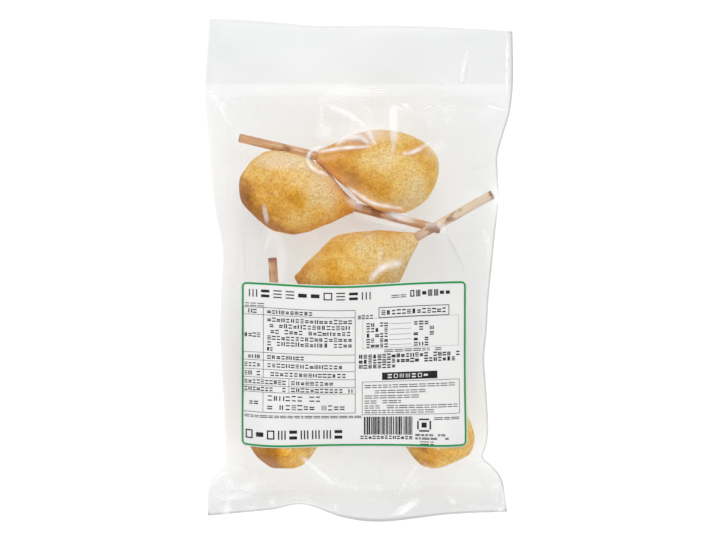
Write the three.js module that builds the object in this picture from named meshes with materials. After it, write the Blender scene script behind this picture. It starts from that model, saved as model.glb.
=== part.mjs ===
// A clear sealed bag that holds five mini corn dogs, lying on its back with its label up.
//
// Units are millimetres. +X is to the right and +Y is to the header, as the label is read.
// +Z is up from the surface that the bag lies on. The origin is at the middle of the bag's
// bounding box, at the height of that surface.
//
// The bag is one closed solid of film, food and air. Its upper film hangs over the corn dogs
// as a soap film would, its lower film lies on the surface, and both meet in flat welded edges.
// The label is a stiff sheet that bridges the dips between the corn dogs.

import * as THREE from "three";

// One mini corn dog: a pear of fried batter on a round wooden stick.
const DOG_LENGTH = 58;
const DOG_RADIUS = 19.6;
const DOG_LOWEST = 0.45; // above the surface, on the lower film
const NECK_RADIUS = 3.3;
const STICK_RADIUS = 2.2;
const STICK_BURIED = 8; // inside the batter

// Where the corn dogs lie. x and y are the end of the neck, turn is the direction in which the
// stick points, counted from +X, and rise is how far the stick points up. size and girth scale a
// body's length and radius, and widest is how far its widest ring is from the round end. blunt is
// lower where that end is flatter, and taper where the body is fuller towards the neck. reach is
// the bare stick past the neck, and bow is how far aside the body lies at shares of its length.
const DOGS = [
  { x: -3, y: 31, turn: -14.5, rise: -5, size: 0.99, girth: 0.99, widest: 25, blunt: 1,
    taper: 1.2, reach: 44, bow: [[0, 0], [0.5, -1.8], [0.85, -1.4], [1, 0]] },
  { x: -20.5, y: 55.5, turn: 166.8, rise: 1, size: 1.01, girth: 1, widest: 22, blunt: 0.74,
    taper: 1.05, reach: 39.5,
    bow: [[0, -3], [0.2, -1.8], [0.38, -0.6], [0.55, -1.2], [0.7, -2.4], [0.85, -1.6], [1, 0]] },
  { x: 26.8, y: 15.6, turn: 29.3, rise: 5, size: 1.09, girth: 1, widest: 25, blunt: 1,
    taper: 1.1, reach: 43.2, bow: [[0, 0.8], [0.5, -0.6], [1, 0]] },
  { x: -39.6, y: -42.4, turn: 94.3, rise: -4, size: 0.96, girth: 0.94, widest: 23, blunt: 1,
    taper: 1.15, reach: 48.6, bow: [[0, 0.8], [0.5, 0.6], [1, 0]] },
  { x: 29.4, y: -48.4, turn: 104, rise: -5, size: 0.86, girth: 0.86, widest: 20, blunt: 0.85,
    taper: 1.15, reach: 42, bow: [[0, -2.2], [0.5, -0.6], [1, 0]] },
];

// The bag's outline, as it lies. The side seams pull in along the filled length and flare
// out at both ends, and the right seam has a nip beside the lower corn dog.
const LEFT_SEAM = [
  [-75.8, -125],
  [-75.8, -111],
  [-74, -104.6],
  [-71, -100.2],
  [-67, -96.4],
  [-66.5, -90],
  [-66.8, -78],
  [-67.4, -62],
  [-68.4, -45],
  [-69.1, -28],
  [-68.4, -8],
  [-67.6, 9],
  [-70.4, 24],
  [-72.2, 35],
  [-73.5, 48],
  [-74.6, 62],
  [-76, 75],
  [-76.8, 88],
  [-76.6, 98],
  [-75.6, 112],
  [-74.7, 126],
];
const RIGHT_SEAM = [
  [73.8, -125],
  [72.5, -115],
  [71.3, -107],
  [69.3, -101.6],
  [65.4, -97],
  [61, -92.5],
  [62.7, -86],
  [63.4, -79],
  [63, -68],
  [62.1, -55],
  [61.4, -43],
  [62.6, -30],
  [63.4, -15],
  [65, 1],
  [66.6, 17],
  [68.4, 34],
  [68.2, 46],
  [68, 56],
  [70.8, 67],
  [73.8, 76.5],
  [75.5, 87],
  [76.1, 100],
  [76, 120],
];
const HEADER_EDGE = [
  [-75, 125.2],
  [-60, 124.6],
  [-42, 123.6],
  [-22, 121.9],
  [0, 121.8],
  [18, 121.7],
  [36, 121.2],
  [52, 120.4],
  [66, 119.8],
  [77, 118.7],
];
const BOTTOM_EDGE = [
  [-75, -122.5],
  [-46, -119.5],
  [-28, -116.3],
  [-8, -123.5],
  [12, -125.6],
  [45, -121.8],
  [75, -120.5],
];

// Welds. The header is the film beyond the top weld.
const TOP_WELD = 86;
const BOTTOM_WELD = -113;
const WELD_THICKNESS = 0.9;

// Heights of the welded edge above the surface, from the bottom edge to the header's edge.
const SEAM_HEIGHTS = [
  [-126, 2.4],
  [-113, 5],
  [-92, 10],
  [-40, 12],
  [40, 12],
  [72, 10.5],
  [86, 8.5],
  [126, 4.2],
];
const BOTTOM_LIFT = 4.5; // the bottom edge curls up where its outline steps in
const BOTTOM_LIFT_X = -30;
const BOTTOM_LIFT_WIDTH = 15;
const HEADER_WAVE = 1.1;
const HEADER_WAVE_LENGTH = 88;

// The grid that both films are made on.
const CELLS_ACROSS = 34;
const CELLS_ALONG = 54;
const RELAX_ROUNDS = 900;
const PUFF = 0.05; // trapped air lifts the upper film by this much a round
const SAG = 0.85; // the lower film falls to the surface by this much a round
const FILM_GAP = 0.4; // film over batter

// The label.
const LABEL_WIDTH = 110;
const LABEL_HEIGHT = 80.5;
const LABEL_THICKNESS = 0.5;
const LABEL_GAP = 0.8; // between the solids of label and bag
const LABEL_LEFT = -58;
const LABEL_BOTTOM = -85.4;
const LABEL_BOW = 2.4; // the middle of its top edge is drawn down by this much
const LABEL_BOW_X = -12;
const LABEL_BOW_WIDTH = 34;
const LABEL_MARGIN = 4; // the film is held flat this far past the label
const LABEL_ROUNDS = 220;
const LABEL_ACROSS = 22;
const LABEL_ALONG = 16;

const clamp = THREE.MathUtils.clamp;
const lerp = THREE.MathUtils.lerp;
const radians = THREE.MathUtils.degToRad;
const bump = (distance, width) => Math.exp(-((distance / width) ** 2));

// A smooth curve through [position, value] stations, read at a position. A straight lookup
// table of the curve's own points keeps every reading cheap.
function stationCurve(stations) {
  const curve = new THREE.SplineCurve(
    stations.map(([position, value]) => new THREE.Vector2(position, value)),
  );
  const points = curve.getPoints(12 * stations.length);
  return (position) => {
    const at = points.findIndex((p) => p.x >= position);
    if (at <= 0) return at === 0 ? points[0].y : points[points.length - 1].y;
    const [low, high] = [points[at - 1], points[at]];
    return lerp(low.y, high.y, (position - low.x) / (high.x - low.x));
  };
}

const swap = (points) => points.map(([a, b]) => [b, a]);
const leftSeam = stationCurve(swap(LEFT_SEAM));
const rightSeam = stationCurve(swap(RIGHT_SEAM));
const headerEdge = stationCurve(HEADER_EDGE);
const bottomEdge = stationCurve(BOTTOM_EDGE);
const seamHeight = stationCurve(SEAM_HEIGHTS);

const bowCurves = new Map(DOGS.map((dog) => [dog, stationCurve(dog.bow)]));

// The radius of a corn dog's batter at a distance from its round end.
function pearRadius(dog, along) {
  const widest = dog.widest * dog.size;
  const length = DOG_LENGTH * dog.size;
  const radius = DOG_RADIUS * dog.girth;
  const neck = NECK_RADIUS * dog.girth;
  if (along < 0 || along > length) return 0;
  if (along < widest)
    return radius * (1 - ((widest - along) / widest) ** 2) ** (dog.blunt / 2);
  const taper = Math.cos((Math.PI / 2) * ((along - widest) / (length - widest)));
  return neck + (radius - neck) * Math.pow(taper, dog.taper);
}

// The height of a corn dog's upper surface over a point, or nothing where it isn't.
function dogTop(dog, x, y) {
  const turn = radians(dog.turn);
  const length = DOG_LENGTH * dog.size;
  const fromNeck = (x - dog.x) * Math.cos(turn) + (y - dog.y) * Math.sin(turn);
  const along = fromNeck + length;
  const bow = bowCurves.get(dog)(clamp(along / length, 0, 1));
  const aside = -(x - dog.x) * Math.sin(turn) + (y - dog.y) * Math.cos(turn) - bow;
  const axis =
    DOG_RADIUS * dog.girth +
    DOG_LOWEST +
    (along - dog.widest * dog.size) * Math.tan(radians(dog.rise));
  const onStick = along > length - STICK_BURIED && along < length + dog.reach;
  const radius = Math.max(pearRadius(dog, along), onStick ? STICK_RADIUS : 0);
  if (Math.abs(aside) >= radius) return 0;
  return axis + Math.sqrt(radius ** 2 - aside ** 2) + FILM_GAP;
}

// The grid. Rows lie across the bag at even steps from the bottom edge to the header's edge,
// and take on those edges' own lines over the outer part of the flat ends.
const rows = CELLS_ALONG + 1;
const columns = CELLS_ACROSS + 1;
const rowLow = -121.5;
const rowHigh = 121.5;
const EDGE_REACH = 18;

function gridPoint(column, level) {
  const left = leftSeam(level);
  const right = rightSeam(level);
  const x = lerp(left, right, column / CELLS_ACROSS);
  const toHeader = clamp(1 - (rowHigh - level) / EDGE_REACH, 0, 1);
  const toBottom = clamp(1 - (level - rowLow) / EDGE_REACH, 0, 1);
  const y =
    level +
    toHeader ** 1.5 * (headerEdge(x) - rowHigh) +
    toBottom ** 1.5 * (bottomEdge(x) - rowLow);
  return [x, y];
}

// The height of the welded films' middle, wherever they are flat together.
function weldHeight(x, y) {
  const toBottom = clamp((BOTTOM_WELD + 8 - y) / 14, 0, 1);
  const toHeader = clamp((y - TOP_WELD) / 30, 0, 1);
  return (
    seamHeight(y) +
    toBottom * BOTTOM_LIFT * bump(x - BOTTOM_LIFT_X, BOTTOM_LIFT_WIDTH) +
    toHeader * HEADER_WAVE * Math.sin((2 * Math.PI * x) / HEADER_WAVE_LENGTH)
  );
}

const grid = [];
for (let row = 0; row < rows; row++) {
  const level = lerp(rowLow, rowHigh, row / CELLS_ALONG);
  const flatEnd = level >= TOP_WELD || level <= BOTTOM_WELD;
  for (let column = 0; column < columns; column++) {
    const [x, y] = gridPoint(column, level);
    const welded = flatEnd || column === 0 || column === CELLS_ACROSS;
    grid.push({ x, y, welded, weld: weldHeight(x, y) });
  }
}

const onLabel = ({ x, y }) =>
  x > LABEL_LEFT - LABEL_MARGIN &&
  x < LABEL_LEFT + LABEL_WIDTH + LABEL_MARGIN &&
  y > LABEL_BOTTOM - LABEL_MARGIN &&
  y < LABEL_BOTTOM + LABEL_HEIGHT + LABEL_MARGIN;

const neighbours = (heights, at) =>
  (heights[at - 1] + heights[at + 1] + heights[at - columns] + heights[at + columns]) / 4;

// The upper film: each free point settles at the mean of its neighbours plus the puff of the
// air, and never below the corn dogs. Under the label its dips are then bridged.
const tops = grid.map((point) =>
  Math.max(0, ...DOGS.map((dog) => dogTop(dog, point.x, point.y))),
);
const upper = grid.map((point) => point.weld + WELD_THICKNESS / 2);
for (let round = 0; round < RELAX_ROUNDS; round++)
  grid.forEach((point, at) => {
    if (point.welded) return;
    upper[at] = Math.max(tops[at], neighbours(upper, at) + PUFF);
  });
for (let round = 0; round < LABEL_ROUNDS; round++)
  grid.forEach((point, at) => {
    if (point.welded || !onLabel(point)) return;
    upper[at] = Math.max(upper[at], neighbours(upper, at));
  });

// The lower film falls from the welds and lies on the surface.
const lower = grid.map((point) => point.weld - WELD_THICKNESS / 2);
for (let round = 0; round < RELAX_ROUNDS; round++)
  grid.forEach((point, at) => {
    if (point.welded) return;
    lower[at] = Math.max(0, neighbours(lower, at) - SAG);
  });

// A closed solid from two sheets of points on one grid, with a wall round their edge.
function solidBetween(upperPoints, lowerPoints, across, along) {
  const sheet = (across + 1) * (along + 1);
  const positions = [...upperPoints, ...lowerPoints].flat();
  const triangles = [];
  const quad = (a, b, c, d) => triangles.push(a, b, c, a, c, d);
  const index = (column, row) => row * (across + 1) + column;
  for (let row = 0; row < along; row++)
    for (let column = 0; column < across; column++) {
      const a = index(column, row);
      const b = index(column + 1, row);
      const c = index(column + 1, row + 1);
      const d = index(column, row + 1);
      quad(a, b, c, d);
      quad(a + sheet, d + sheet, c + sheet, b + sheet);
    }
  const wall = (a, b) => quad(a, a + sheet, b + sheet, b);
  for (let column = 0; column < across; column++) {
    wall(index(column, 0), index(column + 1, 0));
    wall(index(column + 1, along), index(column, along));
  }
  for (let row = 0; row < along; row++) {
    wall(index(0, row + 1), index(0, row));
    wall(index(across, row), index(across, row + 1));
  }
  const geometry = new THREE.BufferGeometry();
  geometry.setAttribute("position", new THREE.Float32BufferAttribute(positions, 3));
  geometry.setIndex(triangles);
  geometry.computeVertexNormals();
  return geometry;
}

// The height of the upper film at any point of the filled length, read off its grid.
function filmHeight(x, y) {
  const row = clamp(((y - rowLow) / (rowHigh - rowLow)) * CELLS_ALONG, 0, CELLS_ALONG - 1e-6);
  const share = (x - leftSeam(y)) / (rightSeam(y) - leftSeam(y));
  const column = clamp(share * CELLS_ACROSS, 0, CELLS_ACROSS - 1e-6);
  const [i, j] = [Math.floor(column), Math.floor(row)];
  const at = j * columns + i;
  const near = lerp(upper[at], upper[at + 1], column - i);
  const far = lerp(upper[at + columns], upper[at + columns + 1], column - i);
  return lerp(near, far, row - j);
}

// The label's own grid: its top edge bows down in the middle, and its bottom edge is straight.
function labelSheet(height) {
  const points = [];
  for (let row = 0; row <= LABEL_ALONG; row++)
    for (let column = 0; column <= LABEL_ACROSS; column++) {
      const x = LABEL_LEFT + (LABEL_WIDTH * column) / LABEL_ACROSS;
      const bow = LABEL_BOW * bump(x - LABEL_BOW_X, LABEL_BOW_WIDTH);
      const y = LABEL_BOTTOM + ((LABEL_HEIGHT - bow) * row) / LABEL_ALONG;
      points.push([x, y, filmHeight(x, y) + height]);
    }
  return points;
}

function makeBag() {
  const geometry = solidBetween(
    grid.map((point, at) => [point.x, point.y, upper[at]]),
    grid.map((point, at) => [point.x, point.y, lower[at]]),
    CELLS_ACROSS,
    CELLS_ALONG,
  );
  const film = new THREE.MeshStandardMaterial({
    color: 0xe9ebec,
    roughness: 0.12,
    metalness: 0,
  });
  const bag = new THREE.Mesh(geometry, film);
  bag.name = "bag";
  return bag;
}

function makeLabel() {
  const geometry = solidBetween(
    labelSheet(LABEL_GAP + LABEL_THICKNESS),
    labelSheet(LABEL_GAP),
    LABEL_ACROSS,
    LABEL_ALONG,
  );
  const paper = new THREE.MeshStandardMaterial({
    color: 0xf1f1f0,
    roughness: 0.45,
    metalness: 0,
  });
  const label = new THREE.Mesh(geometry, paper);
  label.name = "label";
  return label;
}

const pack = new THREE.Group();
pack.add(makeBag(), makeLabel());

// The frame's origin is at the middle of the footprint.
const extent = new THREE.Box3().setFromObject(pack);
const middle = extent.getCenter(new THREE.Vector3());
pack.position.set(-middle.x, -middle.y, -extent.min.z);

export default pack;
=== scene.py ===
import math
import random
from functools import partial

import bmesh
import bpy
import numpy as np
from mathutils import Matrix, Vector, noise


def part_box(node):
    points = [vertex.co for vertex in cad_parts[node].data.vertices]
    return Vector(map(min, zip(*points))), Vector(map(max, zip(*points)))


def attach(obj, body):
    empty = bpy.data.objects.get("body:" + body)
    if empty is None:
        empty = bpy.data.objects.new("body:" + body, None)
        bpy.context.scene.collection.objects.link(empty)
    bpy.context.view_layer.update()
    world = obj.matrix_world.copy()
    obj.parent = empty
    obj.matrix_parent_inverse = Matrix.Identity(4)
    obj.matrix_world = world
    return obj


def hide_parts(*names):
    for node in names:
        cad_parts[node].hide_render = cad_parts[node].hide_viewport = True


# A clear sealed film bag with a printed label and five mini corn dogs inside, lying on a pale
# floor. The layout is in millimetres, +X right and +Y to the header as the label is read, and
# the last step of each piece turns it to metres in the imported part's own frame.

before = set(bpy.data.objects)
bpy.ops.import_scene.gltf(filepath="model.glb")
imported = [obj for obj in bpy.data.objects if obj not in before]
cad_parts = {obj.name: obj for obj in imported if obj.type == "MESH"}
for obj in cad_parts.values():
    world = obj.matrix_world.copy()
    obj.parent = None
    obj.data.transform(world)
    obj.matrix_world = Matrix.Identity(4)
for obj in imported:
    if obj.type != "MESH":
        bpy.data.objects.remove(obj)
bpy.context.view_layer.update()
mm = 0.001


def linearColour(hexText):
    # an sRGB hex value as a linear RGBA colour
    parts = [int(hexText[i:i + 2], 16) / 255 for i in (1, 3, 5)]
    return [p / 12.92 if p <= 0.04045 else ((p + 0.055) / 1.055) ** 2.4 for p in parts] + [1.0]


def smoothLine(stations, count):
    # so many points along a smooth line that runs through a few
    points = np.array(stations, float)
    padded = np.vstack([points[:1], points, points[-1:]])
    steps = np.linspace(0, len(points) - 1, count)
    at = np.minimum(steps.astype(int), len(points) - 2)
    t = (steps - at)[:, None]
    before, low, high, after = (padded[at + k] for k in range(4))
    leaving, arriving = (high - before) / 2, (after - low) / 2
    return ((2 * low - 2 * high + leaving + arriving) * t ** 3
            + (3 * high - 3 * low - 2 * leaving - arriving) * t ** 2 + leaving * t + low)


def stationCurve(stations):
    # a smooth curve through (position, value) stations, read at any position
    curve = smoothLine(stations, 12 * len(stations) + 1)
    return lambda position: np.interp(position, curve[:, 0], curve[:, 1])


def bump(distance, width):
    return np.exp(-(distance / width) ** 2)


def smoothStep(low, high, value):
    t = np.clip((value - low) / (high - low), 0, 1)
    return t * t * (3 - 2 * t)


def readRows(items, name):
    # positions or normals of a mesh, a row for each
    values = np.empty(len(items) * 3)
    items.foreach_get(name, values)
    return values.reshape(-1, 3)


def setMeshPoints(mesh, points):
    mesh.vertices.foreach_set("co", points.ravel())
    mesh.update()


def pointAttribute(mesh, name, values):
    kind = "FLOAT" if values.ndim == 1 else "FLOAT_VECTOR"
    attribute = mesh.attributes.new(name, kind, "POINT")
    attribute.data.foreach_set("value" if kind == "FLOAT" else "vector", values.ravel())


def meshOf(bm, name):
    mesh = bpy.data.meshes.new(name)
    bm.to_mesh(mesh)
    bm.free()
    return mesh


def flatGrid(name, columns, rows):
    # a square grid, and each point's share of the way across and up it
    bm = bmesh.new()
    bmesh.ops.create_grid(bm, x_segments=columns, y_segments=rows, size=0.5)
    mesh = meshOf(bm, name)
    flat = readRows(mesh.vertices, "co")
    return mesh, flat[:, 0] + 0.5, flat[:, 1] + 0.5


def spunSkin(profile, around):
    # a closed skin of (distance along +X, radius) pairs turned about that axis
    bm = bmesh.new()
    verts = [bm.verts.new((x, 0, radius)) for x, radius in profile]
    edges = [bm.edges.new(pair) for pair in zip(verts[:-1], verts[1:])]
    bmesh.ops.spin(bm, geom=verts + edges, cent=(0, 0, 0), axis=(1, 0, 0), dvec=(0, 0, 0),
                   angle=2 * math.pi, steps=around, use_merge=True, use_duplicate=False)
    bmesh.ops.remove_doubles(bm, verts=bm.verts, dist=0.001)
    bmesh.ops.recalc_face_normals(bm, faces=bm.faces)
    bm.normal_update()
    return bm


def finishPiece(name, mesh, points, material, replacedNode=None):
    # moves the layout's points into the frame, and says what the piece rides on and stands for
    setMeshPoints(mesh, (points + shift) * mm)
    mesh.polygons.foreach_set("use_smooth", [True] * len(mesh.polygons))
    mesh.materials.append(material)
    piece = bpy.data.objects.new(name, mesh)
    bpy.context.scene.collection.objects.link(piece)
    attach(piece, "root")
    if replacedNode:
        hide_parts(replacedNode)
    return piece


bagOutline = {
    # (y, x) up each side, then (x, y) along each end
    "leftSeam": [(-125, -75.8), (-111, -75.8), (-104.6, -74), (-100.2, -71), (-96.4, -67), (-90, -66.5),
                 (-78, -66.8), (-62, -67.4), (-45, -68.4), (-28, -69.1), (-8, -68.4), (9, -67.6),
                 (24, -70.4), (35, -72.2), (48, -73.5), (62, -74.6), (75, -76), (88, -76.8),
                 (98, -76.6), (112, -75.6), (126, -74.7)],
    "rightSeam": [(-125, 73.8), (-115, 72.5), (-107, 71.3), (-101.6, 69.3), (-97, 65.4), (-92.5, 61),
                  (-86, 62.7), (-79, 63.4), (-68, 63), (-55, 62.1), (-43, 61.4), (-30, 62.6),
                  (-15, 63.4), (1, 65), (17, 66.6), (34, 68.4), (46, 68.2), (56, 68), (67, 70.8),
                  (76.5, 73.8), (87, 75.5), (100, 76.1), (120, 76)],
    "headerEdge": [(-75, 125.2), (-60, 124.6), (-42, 123.6), (-22, 121.9), (0, 121.8), (18, 121.7),
                   (36, 121.2), (52, 120.4), (66, 119.8), (77, 118.7)],
    "bottomEdge": [(-75, -122.5), (-46, -119.5), (-28, -116.3), (-8, -123.5), (12, -125.6),
                   (45, -121.8), (75, -120.5)],
    "rowLow": -121.5,
    "rowHigh": 121.5,
    "edgeReach": 18,  # how far in the ends' own lines are felt
    "edgeEase": 1.5,
    "across": 34,  # cells of the coarse grid, halved three times after that
    "along": 54,
}

leftSeam, rightSeam, headerEdge, bottomEdge = (
    stationCurve(bagOutline[k]) for k in ("leftSeam", "rightSeam", "headerEdge", "bottomEdge"))


def outlinePoint(share, level):
    # share runs from the left seam, 0, to the right one, 1
    low, high, reach, ease = (bagOutline[k] for k in ("rowLow", "rowHigh", "edgeReach", "edgeEase"))
    x = leftSeam(level) + share * (rightSeam(level) - leftSeam(level))
    toHeader = np.clip(1 - (high - level) / reach, 0, 1) ** ease
    toBottom = np.clip(1 - (level - low) / reach, 0, 1) ** ease
    y = level + toHeader * (headerEdge(x) - high) + toBottom * (bottomEdge(x) - low)
    return x, y


def layoutShift():
    # from the layout's origin to the frame's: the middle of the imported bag's footprint
    shares, levels = np.meshgrid(
        np.linspace(0, 1, bagOutline["across"] + 1),
        np.linspace(bagOutline["rowLow"], bagOutline["rowHigh"], bagOutline["along"] + 1))
    x, y = outlinePoint(shares, levels)
    low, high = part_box("bag")
    return np.array([(low.x + high.x) / 2 / mm - (x.min() + x.max()) / 2,
                     (low.y + high.y) / 2 / mm - (y.min() + y.max()) / 2, 0.0])


shift = layoutShift()

# Each corn dog is a pear of fried batter on a round stick, spun about +X
dogShape = {
    "length": 58.0,
    "radius": 19.6,
    "neckRadius": 3.3,
    "lowest": 0.45,  # above the floor, on the film below it
    "roundRings": 60,
    "taperRings": 84,
    "around": 240,
    "lip": [(0.35, 2.95), (0.4, 2.4), (-0.6, 1.4), (-1.2, 0.0)],  # (past the neck, radius), rolled in
    "seedSteps": (7.3, 3.1, 5.7),
    "lumps": [(17, 1, 2.0), (6.5, 2, 0.6), (2.2, 1, 0.16)],  # (size, multiple of the seed, height)
    "calm": 0.25,  # share of the length over which they fade to the thin, even neck
    "pit": (1.15, 0.16),  # dimples: size and depth
    "grain": (0.62, 0.06),  # fried grain: size and height
    "paintedShadeFacing": 205,  # painted shade: the flank that faces this way, from +X, is darker and browner
    "brownNeck": (0.6, 0.94),  # and so is the neck, from this share of the length to that
}
stickShape = {
    "radius": 2.2,
    "buried": 9.0,  # inside the batter
    "edge": 0.35,  # rounded end, by one step at this share of it
    "bevel": 0.3,
    "endRing": 0.6,  # a ring on its flat end, as a share of the radius
    "rings": 100,
    "around": 24,
    "ripple": 0.05,  # share of the radius: it is split and sanded, not turned
    "rippleSize": (14, 1.6, 1.6),
}
# x and y are the end of the neck, turn is where the stick points from +X, rise is how far it
# points up, girth and size scale the batter's radius and length, widest is how far its widest ring
# is from the round end, blunt is lower where that end is flatter and taper where it is fuller to
# the neck, reach is the bare stick's length, bow gives how far aside the middle lies at shares of
# the way from the round end to the neck, and seed gives each one its own lumps. neck is how brown
# that turned in the oil, flank is how strongly a painted shade darkens and browns the flank
# that faces away from the light, and tones are spots, browner where the skin scorched and paler
# as painted light on the lit sides: where, how far they reach, how much
dogs = [
    {"name": "upper_left", "x": -3, "y": 31, "turn": -14.5, "rise": -5, "size": 0.99, "girth": 0.99,
     "widest": 25, "blunt": 1.0, "taper": 1.2, "reach": 44,
     "bow": [(0, 0), (0.5, -1.8), (0.85, -1.4), (1, 0)], "seed": 3, "stains": [(3, 5), (32, 3.2)],
     "neck": 0.3, "flank": 1.1,
     "tones": [(-51, 35, 9, 0.19), (-57.5, 33.5, 4.6, 0.60), (-36, 27, 10, 0.13), (-22, 44, 12, -0.05)]},
    {"name": "upper_right", "x": -20.5, "y": 55.5, "turn": 166.8, "rise": 1, "size": 1.01,
     "girth": 1.0, "widest": 22, "blunt": 0.74, "taper": 1.05, "reach": 39.5,
     "bow": [(0, -3.0), (0.2, -1.8), (0.38, -0.6), (0.55, -1.2), (0.7, -2.4), (0.85, -1.6), (1, 0)],
     "seed": 11, "neck": 0.85, "flank": 0.3,
     "tones": [(-9, 48, 7, 0.16), (6, 44, 9, 0.03), (30, 45, 10, -0.05)]},
    {"name": "middle", "x": 26.8, "y": 15.6, "turn": 29.3, "rise": 5, "size": 1.09, "girth": 1.0,
     "widest": 25, "blunt": 1.0, "taper": 1.1, "reach": 43.2, "bow": [(0, 0.8), (0.5, -0.6), (1, 0)],
     "seed": 23, "nub": {"at": (-60.2, 11.2, 2.0), "root": 0.8, "reach": 2.7, "push": 3.6},
     "stains": [(0.5, 1.5), (33, 4)], "pale": 0.8, "neck": 0.12, "flank": 0.8,
     "tones": [(-29, 2, 6, 0.14), (-2, 6, 9, 0.04), (16, 12, 11, -0.06)]},
    {"name": "lower_left", "x": -39.6, "y": -42.4, "turn": 94.3, "rise": -4, "size": 0.96,
     "girth": 0.94, "widest": 23, "blunt": 1.0, "taper": 1.15, "reach": 48.6,
     "bow": [(0, 0.8), (0.5, 0.6), (1, 0)], "seed": 31, "stains": [(1, 2.5), (8, 4)],
     "neck": 0.3, "flank": 1.0, "tones": [(-52, -88, 7, 0.15), (-41, -93, 9, 0.14)]},
    {"name": "lower_right", "x": 29.4, "y": -48.4, "turn": 104, "rise": -5, "size": 0.86,
     "girth": 0.86, "widest": 20, "blunt": 0.85, "taper": 1.15, "reach": 42,
     "bow": [(0, -2.2), (0.5, -0.6), (1, 0)], "seed": 47, "neck": 0.3, "flank": 0.9,
     "tones": [(34, -90, 7, 0.08)]},
]


def dogMatrix(dog):
    # from a dog's own axes, +X along the stick from the neck, to the layout
    height = dogShape["radius"] * dog["girth"] + dogShape["lowest"]
    fromWidest = (dogShape["length"] - dog["widest"]) * dog["size"]
    rise = math.radians(dog["rise"])
    neckHeight = height + fromWidest * math.tan(rise)
    place = Matrix.Translation((dog["x"], dog["y"], neckHeight))
    turned = Matrix.Rotation(math.radians(dog["turn"]), 4, "Z")
    return place @ turned @ Matrix.Rotation(-rise, 4, "Y")


def pearProfile(dog):
    # (distance from the round end, radius) of the batter, from pole to pole
    length, radius, neck = (dogShape[k] for k in ("length", "radius", "neckRadius"))
    widest = dog["widest"]
    quarter = np.linspace(0, math.pi / 2, dogShape["roundRings"])
    front = np.column_stack([widest * (1 - np.cos(quarter)), radius * np.sin(quarter) ** dog["blunt"]])
    along = widest + (length - widest) * np.linspace(0, 1, dogShape["taperRings"])[1:]
    taper = np.cos(math.pi / 2 * (along - widest) / (length - widest)).clip(0)
    back = np.column_stack([along, neck + (radius - neck) * taper ** dog["taper"]])
    lip = np.array(dogShape["lip"]) + (length, 0)
    return np.vstack([front, back, lip]) * (dog["size"], dog["girth"])


def makeBatter(dog, material):
    # spins the pear, then pushes its skin about: big lumps, shallow dimples and fried grain
    length = dogShape["length"] * dog["size"]
    bm = spunSkin(pearProfile(dog) - (length, 0), dogShape["around"])
    seed = Vector([dog["seed"] * step for step in dogShape["seedSteps"]])
    (pitSize, pitDepth), (grainSize, grainHeight) = dogShape["pit"], dogShape["grain"]
    nub = dog.get("nub")  # a drip that set on the skin
    if nub:
        nubAt = Vector(nub["at"])
        nubLead = (nubAt - Vector((nubAt.x * nub["root"], 0, 0))).normalized()
    bow = stationCurve(dog["bow"])
    places = []
    for vert in bm.verts:
        place = 1 + vert.co.x / length
        places.append(place)
        calm = min(1.0, max(0.0, (1.0 - place) / dogShape["calm"]))
        lumps = sum(height * noise.noise(vert.co / size + seed * times)
                    for size, times, height in dogShape["lumps"])
        pit = pitDepth * abs(noise.noise(vert.co / pitSize + seed))
        grain = grainHeight * noise.noise(vert.co / grainSize + seed)
        vert.co += vert.normal * (lumps * calm - pit + grain)
        if nub:
            near = math.exp(-((vert.co - nubAt).length / nub["reach"]) ** 2)
            vert.co += nubLead * nub["push"] * near
        vert.co.y += bow(place)
    bm.transform(dogMatrix(dog))
    name = "batter_" + dog["name"]
    mesh = meshOf(bm, name)
    points = readRows(mesh.vertices, "co")
    points[:, 2] += dogShape["lowest"] - points[:, 2].min()
    # browner spots where the skin scorched, and paler spots on the lit sides that are painted light
    tone = np.zeros(len(points))
    for x, y, reach, amount in dog["tones"]:
        tone += amount * bump(np.hypot(points[:, 0] - x, points[:, 1] - y), reach)
    # painted shade: points whose normals face the shaded side get a darker, browner flank
    normals = readRows(mesh.vertex_normals, "vector")
    shadeSide = math.radians(dogShape["paintedShadeFacing"])
    facing = normals[:, 0] * math.cos(shadeSide) + normals[:, 1] * math.sin(shadeSide)
    pointAttribute(mesh, "tone", tone)
    pointAttribute(mesh, "neck", dog["neck"] * smoothStep(*dogShape["brownNeck"], np.array(places)))
    pointAttribute(mesh, "flank", dog["flank"] * facing)
    finishPiece(name, mesh, points, material, "bag")
    return points


def makeStick(dog, material):
    radius, edge = stickShape["radius"], stickShape["edge"]
    start, end = -stickShape["buried"], dog["reach"]
    body = np.linspace(start + edge, end - edge, stickShape["rings"])
    profile = [(start, 0), (start, radius - edge)] + [(x, radius) for x in body]
    bevel = edge * stickShape["bevel"]
    profile += [(end - bevel, radius - bevel), (end, radius - edge),
                (end, radius * stickShape["endRing"]), (end, 0)]
    bm = spunSkin(profile, stickShape["around"])
    long, wide, tall = stickShape["rippleSize"]
    own = []
    for vert in bm.verts:
        x, y, z = vert.co
        own.append((x - end, y, z))
        ripple = noise.noise(Vector((x / long, y / wide, z / tall)) + Vector((dog["seed"], 0, 0)))
        vert.co.y *= 1 + stickShape["ripple"] * ripple
        vert.co.z *= 1 + stickShape["ripple"] * ripple
    bm.transform(dogMatrix(dog))
    name = "stick_" + dog["name"]
    mesh = meshOf(bm, name)
    own = np.array(own)
    stain = np.zeros(len(own))
    for fromTip, half in dog.get("stains", []):
        stain = np.maximum(stain, bump(own[:, 0] + fromTip, half))
    pointAttribute(mesh, "stickPlace", own)
    pointAttribute(mesh, "stain", stain)
    pointAttribute(mesh, "pale", np.full(len(own), dog.get("pale", 0.0)))
    points = readRows(mesh.vertices, "co")
    finishPiece(name, mesh, points, material, "bag")
    return points


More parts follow.
